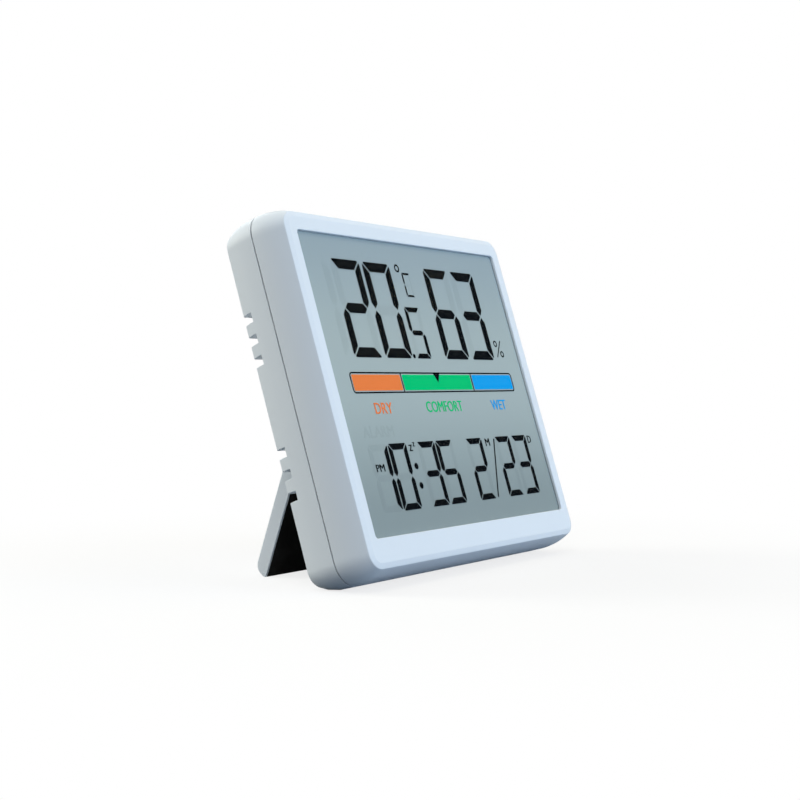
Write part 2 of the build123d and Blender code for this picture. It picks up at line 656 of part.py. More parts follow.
with BuildPart() as stand:
    with BuildSketch(stand_plane):
        add(flap)
    extrude(amount=STAND_WIDTH / 2, both=True)
    with BuildSketch(stand_plane):
        Circle(PIN_DIAMETER / 2)
    extrude(amount=STAND_WIDTH / 2 + STAND_SIDE_GAP + PIN_LENGTH, both=True)
    add(stand_liner.part, mode=Mode.SUBTRACT)

pieces = {
    "front_frame": front_frame.part,
    "window_lens": window_lens.part,
    "lcd_front_polariser": lcd_front_polariser,
    "lcd_front_glass": lcd_front_glass,
    "lcd_rear_glass": lcd_rear_glass,
    "lcd_reflector": lcd_reflector,
    "lcd_holder": lcd_holder.part,
    "zebra_strip": zebra_strip.part,
    "circuit_board": circuit_board.part,
    "board_screws": board_screws.part,
    "controller_blob": controller_blob.part,
    "quartz_crystal": quartz_crystal.part,
    "humidity_sensor": humidity_sensor.part,
    "buzzer": buzzer.part,
    "chip_components": chip_components.part,
    "switch_bodies": switch_bodies.part,
    "rear_shell": rear_shell.part,
    "battery_upper": battery_cell(CELL_HEIGHTS["upper"], 1),
    "battery_lower": battery_cell(CELL_HEIGHTS["lower"], -1),
    "positive_contact": contact(1, [CELL_HEIGHTS["upper"]], []),
    "negative_contact": contact(1, [CELL_HEIGHTS["lower"]], [CELL_HEIGHTS["lower"]]),
    "bridge_contact": contact(-1, CELL_HEIGHTS.values(), [CELL_HEIGHTS["upper"]]),
    "battery_door": battery_door.part,
    "stand": stand.part,
    "stand_liner": stand_liner.part,
}
for name, place in KEY_NAMES.items():
    pieces["switch_plunger_" + name] = switch_plunger(place)
    pieces["key_" + name] = setting_key(place)

# Lean the clock back and put the origin under the middle of it
leaned = Location((0, 0, 0), (-LEAN, 0, 0))
box = Compound(children=[piece.moved(leaned) for piece in pieces.values()]).bounding_box()
placed = Location((0, -box.center().Y, -box.min.Z), (-LEAN, 0, 0))
os.makedirs("parts", exist_ok=True)
for name, piece in pieces.items():
    piece = piece.moved(placed)
    piece.label = name
    export_step(piece, f"parts/{name}.step")

for name, point in {
    "stand hinge": (0, HINGE_DEPTH, HINGE_HEIGHT),
    "door hinge": (0, CASE_DEPTH, BAY_BOTTOM - DOOR_LAP),
    "key": (0, CASE_DEPTH, KEY_HEIGHT),
    "back face": (CASE_HALF_WIDTH - SCREW_FROM_SIDE, CASE_DEPTH, 0),
}.items():
    print(name, tuple(round(value, 3) for value in (placed * Pos(point)).position))
print("box", box.size, "floor error", round(box.min.Z - floor, 3), "stand length", round(stand_length, 3))
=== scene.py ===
"""Looks of a thermometer hygrometer clock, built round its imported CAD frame.

The case frame used below has its origin at the centre of the face, x to the right, y back from the
face and z up the face, in millimetres. CaseFrame turns such points into the metres of the row frame.
"""

import json
import logging
from dataclasses import dataclass, field
from enum import Enum
from math import cos, radians, sqrt

import bmesh
import bpy
import numpy as np
from bpy.types import ID, Material, Mesh, Object
from mathutils import Matrix, Vector

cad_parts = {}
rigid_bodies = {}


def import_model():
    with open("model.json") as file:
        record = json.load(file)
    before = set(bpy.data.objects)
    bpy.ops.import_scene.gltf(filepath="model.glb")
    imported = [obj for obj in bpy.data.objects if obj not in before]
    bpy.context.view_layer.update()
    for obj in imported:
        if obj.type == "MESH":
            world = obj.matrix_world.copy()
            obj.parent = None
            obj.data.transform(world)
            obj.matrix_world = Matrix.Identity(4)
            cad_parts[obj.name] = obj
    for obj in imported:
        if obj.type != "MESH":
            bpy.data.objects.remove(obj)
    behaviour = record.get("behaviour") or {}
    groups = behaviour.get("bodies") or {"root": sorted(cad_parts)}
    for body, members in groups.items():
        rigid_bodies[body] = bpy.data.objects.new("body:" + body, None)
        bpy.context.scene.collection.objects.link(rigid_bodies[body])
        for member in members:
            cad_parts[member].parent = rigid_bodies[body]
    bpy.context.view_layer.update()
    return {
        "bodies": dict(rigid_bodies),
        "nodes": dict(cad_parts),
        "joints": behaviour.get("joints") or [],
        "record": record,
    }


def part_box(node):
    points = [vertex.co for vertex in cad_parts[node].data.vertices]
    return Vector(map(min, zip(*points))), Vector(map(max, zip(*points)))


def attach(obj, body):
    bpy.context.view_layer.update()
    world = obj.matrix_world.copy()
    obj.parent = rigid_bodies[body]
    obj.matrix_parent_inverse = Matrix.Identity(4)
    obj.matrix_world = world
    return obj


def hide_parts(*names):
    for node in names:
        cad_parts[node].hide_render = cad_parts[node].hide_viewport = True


log = logging.getLogger("clock")
Points = np.ndarray
Colour = tuple[float, float, float]
Place = tuple[float, float]
Spot = tuple[float, float, float]
MM = 0.001
HALF = 0.5
TINY = 1e-9
WHITE = (1.0, 1.0, 1.0)
KEY_SIDES = ("left", "middle", "right")
# Sizes of the case that several classes share, in millimetres
BACK_DEPTH = 15.5
WINDOW = (77.9, 62.7)
WINDOW_MIDDLE = 1.0


def srgb(red: int, green: int, blue: int) -> Colour:
    """Linear colour of a display colour given as three numbers up to 255.

    Low values lie on a straight line, and the others on a power curve shifted to meet it.
    """
    full, knee, slope, shift, power = 255, 0.04045, 12.92, 0.055, 2.4
    value = np.array([red, green, blue]) / full
    linear = np.where(value <= knee, value / slope, ((value + shift) / (1 + shift)) ** power)
    return tuple(float(part) for part in linear)


class Socket:
    """A shader socket whose arithmetic adds Math nodes to its graph."""

    def __init__(self, graph: "Graph", link: bpy.types.NodeSocket) -> None:
        """Keeps the graph and the output socket that the value comes from."""
        self.graph = graph
        self.link = link

    def _math(self, operation: str, first: "Value", second: "Value") -> "Socket":
        """Math node of an operation on two values."""
        return self.graph.node("ShaderNodeMath", {"operation": operation}, {0: first, 1: second})

    def __add__(self, other: "Value") -> "Socket":
        """Sum."""
        return self._math("ADD", self, other)

    def __sub__(self, other: "Value") -> "Socket":
        """Difference."""
        return self._math("SUBTRACT", self, other)

    def __rsub__(self, other: "Value") -> "Socket":
        """Difference from a number."""
        return self._math("SUBTRACT", other, self)

    def __mul__(self, other: "Value") -> "Socket":
        """Product."""
        return self._math("MULTIPLY", self, other)

    def __truediv__(self, other: "Value") -> "Socket":
        """Quotient."""
        return self._math("DIVIDE", self, other)

    __radd__ = __add__

    def above(self, edge: float) -> "Socket":
        """1 where the value is over an edge, and 0 elsewhere."""
        return self._math("GREATER_THAN", self, edge)

    def ramp(self, low: float, high: float) -> "Socket":
        """Smooth rise from 0 at a low value to 1 at a high one."""
        settings = {"interpolation_type": "SMOOTHSTEP"}
        inputs = {"Value": self, "From Min": low, "From Max": high}
        return self.graph.node("ShaderNodeMapRange", settings, inputs)


Value = Socket | float


class Graph:
    """Node graph of one material or of the world."""

    def __init__(self, name: str, blocks: str = "materials") -> None:
        """Starts an empty graph in a new data block of a kind."""
        self.block = getattr(bpy.data, blocks).new(name)
        self.block.use_nodes = True
        self.tree = self.block.node_tree
        self.tree.nodes.clear()

    def node(self, kind: str, settings: dict, inputs: dict, output: int | str = 0) -> Socket:
        """Adds one node.

        Args:
            kind: Blender's name of the node's type.
            settings: the node's own properties, set before its sockets.
            inputs: socket name or number to a number, a colour or a Socket.
            output: the output to return.

        Returns:
            The chosen output as a Socket.
        """
        made = self.tree.nodes.new(kind)
        for key, value in settings.items():
            setattr(made, key, value)
        for key, value in inputs.items():
            if isinstance(value, Socket):
                self.tree.links.new(value.link, made.inputs[key])
            else:
                made.inputs[key].default_value = (*value, 1.0) if isinstance(value, tuple) else value
        return Socket(self, made.outputs[output])

    def where(self) -> Socket:
        """Object coordinates, which are the row frame's metres."""
        return self.node("ShaderNodeTexCoord", {}, {}, "Object")

    def place(self, axis: str) -> Socket:
        """One axis of the Object coordinates."""
        return self.node("ShaderNodeSeparateXYZ", {}, {0: self.where()}, axis)

    def noise(self, scale: float, detail: float = 3.0) -> Socket:
        """Noise over the Object coordinates, with a scale in cycles per metre."""
        inputs = {"Vector": self.where(), "Scale": scale, "Detail": detail}
        return self.node("ShaderNodeTexNoise", {}, inputs)

    def mix(self, factor: Value, first: Colour | Socket, second: Colour | Socket) -> Socket:
        """Mix of two colours, through the colour sockets of a Mix node, which go by number."""
        share, start, end, result = 0, 6, 7, 2
        inputs = {share: factor, start: first, end: second}
        return self.node("ShaderNodeMix", {"data_type": "RGBA"}, inputs, result)

    def bump(self, height: Socket, depth: float) -> Socket:
        """Normal of a bump whose height runs from 0 to 1 over a depth in metres."""
        return self.node("ShaderNodeBump", {}, {"Height": height, "Distance": depth, "Strength": 1.0})

    def seen(self) -> Socket:
        """1 on rays from the camera and on those that mirrors and clear layers pass on, and 0 on light."""
        kinds = ("Is Camera Ray", "Is Glossy Ray", "Is Transmission Ray")
        camera, glossy, passed = (self.node("ShaderNodeLightPath", {}, {}, kind) for kind in kinds)
        return (camera + glossy + passed).above(HALF)

    def surface(self, shader: Socket) -> ID:
        """Ends the graph with a shader and returns its data block."""
        kind = "World" if isinstance(self.block, bpy.types.World) else "Material"
        end = self.tree.nodes.new("ShaderNodeOutput" + kind)
        self.tree.links.new(shader.link, end.inputs["Surface"])
        return self.block

    def principled(self, inputs: dict) -> Material:
        """Ends the graph with a Principled shader that has these inputs."""
        return self.surface(self.node("ShaderNodeBsdfPrincipled", {}, inputs))


@dataclass(frozen=True)
class Grained:
    """Opaque finish with a grain and patches.

    The grain and the patches are noises in cycles per metre. The grain shapes the bump, to a depth in
    metres, both sway the gloss, and the patches mix two shades: a share of the colour and added light.
    """

    name: str
    colour: Colour
    roughness: float = 0.44
    specular: float = 0.14
    metal: float = 0.0
    grain: float = 9000.0
    grain_detail: float = 2.0
    grain_gloss: float = 0.12
    grain_depth: float = 0.000012
    patch: float = 28.0
    patch_gloss: float = 0.08
    patch_edge: Place | None = None
    shades: tuple[Place, Place] = ((0.95, 0.0), (1.0, 0.0))

    def build(self) -> Material:
        """Material with grain in its bump and a slight drift in colour and gloss."""
        graph = Graph(self.name)
        grain = graph.noise(self.grain, self.grain_detail)
        patch = graph.noise(self.patch)
        share = patch.ramp(*self.patch_edge) if self.patch_edge else patch
        shades = [tuple(part * kept + light for part in self.colour) for kept, light in self.shades]
        sway = (grain - HALF) * self.grain_gloss + (patch - HALF) * self.patch_gloss
        inputs = {
            "Base Color": graph.mix(share, *shades),
            "Metallic": self.metal,
            "Roughness": self.roughness + sway,
            "Specular IOR Level": self.specular,
        }
        if self.grain_depth:
            inputs["Normal"] = graph.bump(grain, self.grain_depth)
        return graph.principled(inputs)


@dataclass(frozen=True)
class Moulding(Grained):
    """Injection-moulded plastic with a fine spark-eroded grain."""


@dataclass(frozen=True)
class Rubber(Grained):
    """Matt rubber or resin with a pebbled skin and some dust."""

    roughness: float = 0.72
    specular: float = 0.1
    grain: float = 2600.0
    grain_gloss: float = 0.2
    grain_depth: float = 0.00003
    patch: float = 140.0
    patch_gloss: float = 0.0
    patch_edge: Place | None = (0.45, 0.8)
    shades: tuple[Place, Place] = ((1.0, 0.0), (1.0, 0.012))


@dataclass(frozen=True)
class Ink(Grained):
    """Printed or switched layer of the display, or another thin matt layer, with a slight mottle."""

    roughness: float = 0.5
    specular: float = 0.0
    grain: float = 900.0
    grain_detail: float = 3.0
    grain_gloss: float = 0.1
    grain_depth: float = 0.0
    patch: float = 900.0
    patch_gloss: float = 0.0
    shades: tuple[Place, Place] = ((0.9, 0.0), (1.0, 0.0))


@dataclass(frozen=True)
class PlatedSteel(Grained):
    """Nickel or zinc plated sheet and wire with drawing marks."""

    roughness: float = 0.3
    specular: float = 0.5
    metal: float = 1.0
    grain: float = 3000.0
    grain_detail: float = 3.0
    grain_gloss: float = 0.2
    grain_depth: float = 0.000004
    patch: float = 3000.0
    patch_gloss: float = 0.0
    shades: tuple[Place, Place] = ((1.0, 0.0), (0.86, 0.0))


@dataclass(frozen=True)
class DisplayFilm:
    """Grey-green film of a reflective display between two heights in metres, paler across its middle: its
    darker top and bottom are painted shade.
    """

    name: str
    top: Colour
    middle: Colour
    bottom: Colour
    low: float
    high: float
    bottom_shade_fade: Place = (0.05, 0.5)
    top_shade_fade: Place = (0.6, 1.0)
    speck: float = 5200.0
    speck_detail: float = 2.0
    speck_share: float = 0.16
    speck_base: float = 0.08
    speck_gloss: float = 0.1
    roughness: float = 0.5

    def dimmed(self, name: str, share: float) -> "DisplayFilm":
        """The same film with every colour at a share of its light."""
        shades = (tuple(part * share for part in colour) for colour in (self.top, self.middle, self.bottom))
        return DisplayFilm(name, *shades, self.low, self.high)

    def build(self) -> Material:
        """Material that runs from the bottom colour through the middle to the top one, with painted shade at
        both ends.
        """
        graph = Graph(self.name)
        height = (graph.place("Z") - self.low) / (self.high - self.low)
        speck = graph.noise(self.speck, self.speck_detail)
        lower = graph.mix(height.ramp(*self.bottom_shade_fade), self.bottom, self.middle)
        whole = graph.mix(height.ramp(*self.top_shade_fade), lower, self.top)
        faint = (speck - HALF) * self.speck_share + self.speck_base
        return graph.principled(
            {
                "Base Color": graph.mix(faint, whole, self.bottom),
                "Roughness": self.roughness + (speck - HALF) * self.speck_gloss,
                "Specular IOR Level": 0.0,
            }
        )


@dataclass(frozen=True)
class ClearPlastic:
    """Clear lens with a glare coating: light goes straight through, and the gloss grows with the slant."""

    name: str
    tint: Colour
    face_on: float = 0.002
    edge_on: float = 0.12
    roughness: float = 0.05
    smear: float = 60.0
    smear_edge: Place = (0.4, 0.9)
    smear_gloss: float = 0.05

    def build(self) -> Material:
        """Material that mixes a clear layer and a gloss that rises with the fifth power of the slant."""
        graph = Graph(self.name)
        smear = graph.noise(self.smear).ramp(*self.smear_edge)
        rough = self.roughness + smear * self.smear_gloss
        clear = graph.node("ShaderNodeBsdfTransparent", {}, {"Color": self.tint})
        gloss = graph.node("ShaderNodeBsdfGlossy", {}, {"Roughness": rough})
        slant = graph.node("ShaderNodeLayerWeight", {}, {"Blend": HALF}, "Facing")
        square = slant * slant
        rise = square * square * slant * self.edge_on + self.face_on
        return graph.surface(graph.node("ShaderNodeMixShader", {}, {0: rise, 1: clear, 2: gloss}))


@dataclass(frozen=True)
class SolderMask:
    """Green lacquer over copper tracks."""

    name: str
    colour: Colour
    track: Colour
    net: float = 320.0
    track_edge: Place = (0.03, 0.06)
    track_depth: float = 0.00003
    roughness: float = 0.3
    haze: float = 800.0
    haze_gloss: float = 0.1

    def build(self) -> Material:
        """Lacquer that is paler and raised over a net of tracks."""
        graph = Graph(self.name)
        settings = {"feature": "DISTANCE_TO_EDGE"}
        inputs = {"Vector": graph.where(), "Scale": self.net}
        track = 1 - graph.node("ShaderNodeTexVoronoi", settings, inputs).ramp(*self.track_edge)
        return graph.principled(
            {
                "Base Color": graph.mix(track, self.colour, self.track),
                "Roughness": self.roughness + graph.noise(self.haze) * self.haze_gloss,
                "Normal": graph.bump(track, self.track_depth),
            }
        )


@dataclass(frozen=True)
class CellSleeve:
    """Printed sleeve of a battery cell: a dark body, a pale end band and a bare steel end."""

    name: str
    body: Colour
    band: Colour
    half_length: float
    positive_side: int
    band_from: float = 0.52
    steel_from: float = 0.965
    steel: Colour = (0.62, 0.62, 0.62)
    print_metal: float = 0.5
    roughness: float = 0.26
    scuff: float = 1200.0
    scuff_gloss: float = 0.12

    def build(self) -> Material:
        """Material banded along the cell's axis, which lies along x."""
        graph = Graph(self.name)
        along = graph.place("X") * float(self.positive_side) / self.half_length
        bare = along.above(self.steel_from)
        sleeve = graph.mix(along.above(self.band_from), self.body, self.band)
        return graph.principled(
            {
                "Base Color": graph.mix(bare, sleeve, self.steel),
                "Metallic": self.print_metal + bare * (1 - self.print_metal),
                "Roughness": self.roughness + graph.noise(self.scuff) * self.scuff_gloss,
            }
        )


Finish = Grained | DisplayFilm | ClearPlastic | SolderMask | CellSleeve


@dataclass(frozen=True)
class CaseFrame:
    """Place and lean of the case in the row frame."""

    origin: Vector
    back: Vector
    up: Vector

    @classmethod
    def from_record(cls, record: dict, depth: float) -> "CaseFrame":
        """Reads the lean from the back face's mount.

        Args:
            record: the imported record.
            depth: depth of the back face behind the front one, in millimetres.

        Returns:
            The frame whose origin is the centre of the face.
        """
        mount = next(m for m in record["mounts"] if m["name"] == "back_face")
        back = Vector(mount["axis"]).normalized()
        up = Vector((1, 0, 0)).cross(back)
        origin = Vector(mount["pos_m"]) - back * depth * MM
        origin.x = 0.0
        return cls(origin, back, up)

    def axes(self) -> Points:
        """Rows of the case's x, y and z directions in the row frame."""
        return np.array([(1, 0, 0), self.back, self.up])

    def world(self, points: Points) -> Points:
        """Row frame places, in metres, of points in millimetres of the case frame."""
        return np.asarray(points, float) @ self.axes() * MM + np.array(self.origin)

    def local(self, points: Points) -> Points:
        """Case frame places, in millimetres, of row frame points in metres."""
        return (np.asarray(points, float) - np.array(self.origin)) @ self.axes().T / MM


def linked(name: str, data: ID) -> Object:
    """New object of its data, put in the scene at the origin."""
    made = bpy.data.objects.new(name, data)
    bpy.context.scene.collection.objects.link(made)
    return made


def surfaced(name: str, verts: Points, faces: list, material: Material) -> Object:
    """New object of a mesh with one finish, from its points in metres and lists of point numbers."""
    mesh = bpy.data.meshes.new(name)
    mesh.from_pydata(verts.tolist(), [], faces)
    mesh.materials.append(material)
    return linked(name, mesh)


def piece(name: str, verts: Points, faces: list, material: Material, body: str) -> Object:
    """Adds a mesh that rides on a body.

    Args:
        name: name of the piece.
        verts: row frame places in metres, one row each.
        faces: lists of vertex numbers.
        material: its finish.
        body: CAD body that it moves with.

    Returns:
        The new object, at the origin.
    """
    made = surfaced(name, verts, faces, material)
    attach(made, body)
    log.info("%s: %d faces", name, len(faces))
    return made


def gathered(items: bpy.types.bpy_prop_collection, name: str, width: int, kind: type = float) -> Points:
    """One property of every item of a mesh, as an array with a row of a width for each."""
    values = np.empty(len(items) * width, kind)
    items.foreach_get(name, values)
    return values.reshape(-1, width)


@dataclass
class Sheet:
    """Flat shapes of one ink, gathered into one mesh of thin closed plates.

    Shapes are given in x and z, and lie between the depths of the sheet's front and rear.
    """

    front: float
    rear: float
    verts: list = field(default_factory=list)
    faces: list = field(default_factory=list)
    count: int = 0
    curve_steps: int = 3
    merge: float = 1e-5
    copy_sunk: float = 0.2

    def _add(self, verts: Points, faces: list) -> None:
        """Appends vertices and their faces."""
        self.verts.append(verts)
        self.faces += [[index + self.count for index in face] for face in faces]
        self.count += len(verts)

    def plate(self, outline: Points) -> None:
        """Prism of a simple outline that runs counter-clockwise as seen from the front."""
        n = len(outline)
        x, z = np.asarray(outline, float).T
        verts = np.concatenate([np.stack([x, np.full(n, y), z], 1) for y in (self.front, self.rear)])
        ring = np.arange(n)
        after = np.roll(ring, -1)
        sides = np.stack([ring, ring + n, after + n, after], 1).tolist()
        self._add(verts, [ring.tolist(), (ring + n)[::-1].tolist(), *sides])

    def band(self, outer: Points, inner: Points) -> None:
        """Closed ring between two outlines of as many points, both counter-clockwise."""
        n = len(outer)
        flat = np.concatenate([outer, inner])
        verts = np.concatenate([np.insert(flat, 1, y, axis=1) for y in (self.front, self.rear)])
        a = np.arange(n)
        b = np.roll(a, -1)
        rows = [
            np.stack([a, b, b + n, a + n], 1),
            np.stack([a + 2 * n, a + 3 * n, b + 3 * n, b + 2 * n], 1),
            np.stack([a, a + 2 * n, b + 2 * n, b], 1),
            np.stack([a + n, b + n, b + 3 * n, a + 3 * n], 1),
        ]
        self._add(verts, np.concatenate(rows).tolist())

    def stroke(self, start: Place, end: Place, width: float) -> None:
        """Straight line of a width between two places."""
        a, b = np.array(start), np.array(end)
        side = np.array([b[1] - a[1], a[0] - b[0]]) / np.hypot(*(b - a)) * width / 2
        self.plate(np.array([a + side, b + side, b - side, a - side]))

    def words(self, text: str, centre: Place, size: Place, bold: float = 0.12) -> None:
        """Lettering that fills a box, as a flat mesh given the sheet's thickness.

        Args:
            text: generic legend.
            centre: x and z of the middle of the box.
            size: width and height of the box, with a negative width to be read from behind.
            bold: sideways shift of a second copy, a little behind the first, that widens upright strokes.
        """
        curve = bpy.data.curves.new(text, "FONT")
        curve.body = text
        curve.resolution_u = self.curve_steps
        holder = bpy.data.objects.new(text, curve)
        flat = bpy.data.meshes.new_from_object(holder)
        bpy.data.objects.remove(holder)
        bpy.data.curves.remove(curve)
        work = bmesh.new()
        work.from_mesh(flat)
        bpy.data.meshes.remove(flat)
        bmesh.ops.remove_doubles(work, verts=work.verts, dist=self.merge)
        top = bmesh.ops.extrude_face_region(work, geom=work.faces[:])
        raised = {v for v in top["geom"] if isinstance(v, bmesh.types.BMVert)}
        work.verts.index_update()
        bmesh.ops.recalc_face_normals(work, faces=work.faces)
        xy = np.array([v.co[:2] for v in work.verts])
        low, high = xy.min(0), xy.max(0)
        fitted = (xy - (low + high) / 2) / (high - low) * np.array(size) + np.array(centre)
        depth = np.array([self.front if v in raised else self.rear for v in work.verts])
        faces = [[v.index for v in f.verts] for f in work.faces]
        for side in (-HALF, HALF) if bold else (-HALF,):
            sunk = depth + (side + HALF) * (self.rear - self.front) * self.copy_sunk
            self._add(np.insert(fitted + (side * bold, 0.0), 1, sunk, axis=1), faces)
        work.free()

    def make(self, frame: CaseFrame, name: str, material: Material, slot: str) -> Object:
        """Puts the gathered shapes into one piece on the case."""
        made = piece(name, frame.world(np.concatenate(self.verts)), self.faces, material, "case")
        work = bmesh.new()
        work.from_mesh(made.data)
        bmesh.ops.recalc_face_normals(work, faces=work.faces)
        work.to_mesh(made.data)
        work.free()
        return made


def rounded_outline(
    centre: Place, size: Place | Points, corner: float, steps: int = 8, guard: float = 0.0
) -> Points:
    """Rounded rectangle, counter-clockwise: each corner is a quarter circle about its own centre.

    Args:
        centre: middle of the rectangle.
        size: width and height.
        corner: radius of the corners.
        steps: points on each quarter circle.
        guard: distance of a further point on the straight beyond each end of a quarter circle, if any.

    Returns:
        The points, one row each.
    """
    turn = np.linspace(0, np.pi / 2, steps)
    arcs = []
    for quarter, (sx, sz) in enumerate([(1, 1), (-1, 1), (-1, -1), (1, -1)]):
        angle = turn + quarter * np.pi / 2
        middle = np.array(centre) + (np.array(size) / 2 - corner) * (sx, sz)
        arc = middle + corner * np.stack([np.cos(angle), np.sin(angle)], 1)
        if guard:
            along = guard * np.stack([-np.sin(angle), np.cos(angle)], 1)
            arc = np.concatenate([arc[:1] - along[:1], arc, arc[-1:] + along[-1:]])
        arcs.append(arc)
    return np.concatenate(arcs)


def circle(centre: Place, radius: float, steps: int = 28) -> Points:
    """Circle, counter-clockwise."""
    angle = np.arange(steps) * 2 * np.pi / steps
    return np.array(centre) + radius * np.stack([np.cos(angle), np.sin(angle)], 1)


class Segment(Enum):
    """The seven bars of a digit."""

    TOP = "a"
    UPPER_RIGHT = "b"
    LOWER_RIGHT = "c"
    BOTTOM = "d"
    LOWER_LEFT = "e"
    UPPER_LEFT = "f"
    MIDDLE = "g"


DIGITS = {
    "0": "abcdef", "1": "bc", "2": "abged", "3": "abgcd", "5": "afgcd", "6": "afgedc", "C": "afed",
}


@dataclass(frozen=True)
class DigitStyle:
    """Proportions of a seven-bar digit, in millimetres, and of its pointed bar ends, as shares of a bar."""

    width: float
    height: float
    bar: float
    gap: float
    corner: float
    shoulder: float = 0.7
    point: float = 0.46

    def outlines(self) -> dict[Segment, Points]:
        """Outline of every bar about the digit's lower left corner.

        Neighbouring bars meet on diagonals and stay half a gap away from them. The outer corners are
        cut off, and the middle bar and the ends that meet it are pointed. Each outline is drawn for
        the upper left quarter and mirrored to the others.

        Returns:
            The points of each bar, counter-clockwise.
        """
        w, h, t, c = self.width, self.height, self.bar, self.corner
        d = self.gap / sqrt(2)
        m = h / 2
        top = np.array(
            [(t + d, h - t), (w - t - d, h - t), (w - (c + d) / 2, h - (c - d) / 2), (w - c, h), (c, h),
             ((c + d) / 2, h - (c - d) / 2)]
        )
        left = np.array(
            [(0, h - c), (0, m + self.shoulder * t), (self.point * t, m + d), (t, m + t / 2 + d),
             (t, h - t - d), ((c - d) / 2, h - (c + d) / 2)]
        )
        middle = np.array(
            [(t / 2 + d, m), (t + d, m - t / 2), (w - t - d, m - t / 2), (w - t / 2 - d, m),
             (w - t - d, m + t / 2), (t + d, m + t / 2)]
        )
        right = (np.array([w, 0]) + left * (-1, 1))[::-1]
        flip = np.array([0, h])
        return {
            Segment.TOP: top,
            Segment.UPPER_RIGHT: right,
            Segment.LOWER_RIGHT: (flip + right * (1, -1))[::-1],
            Segment.BOTTOM: (flip + top * (1, -1))[::-1],
            Segment.LOWER_LEFT: (flip + left * (1, -1))[::-1],
            Segment.UPPER_LEFT: left,
            Segment.MIDDLE: middle,
        }


class Layer(Enum):
    """Layers of the display's picture, with the names of their pieces."""

    GROUND = "display_ground"
    LIT = "display_lit_segments"
    POINTER = "display_pointer"
    UNLIT = "display_unlit_segments"
    ORANGE = "display_orange_ink"
    GREEN = "display_green_ink"
    BLUE = "display_blue_ink"


Sheets = dict[Layer, Sheet]


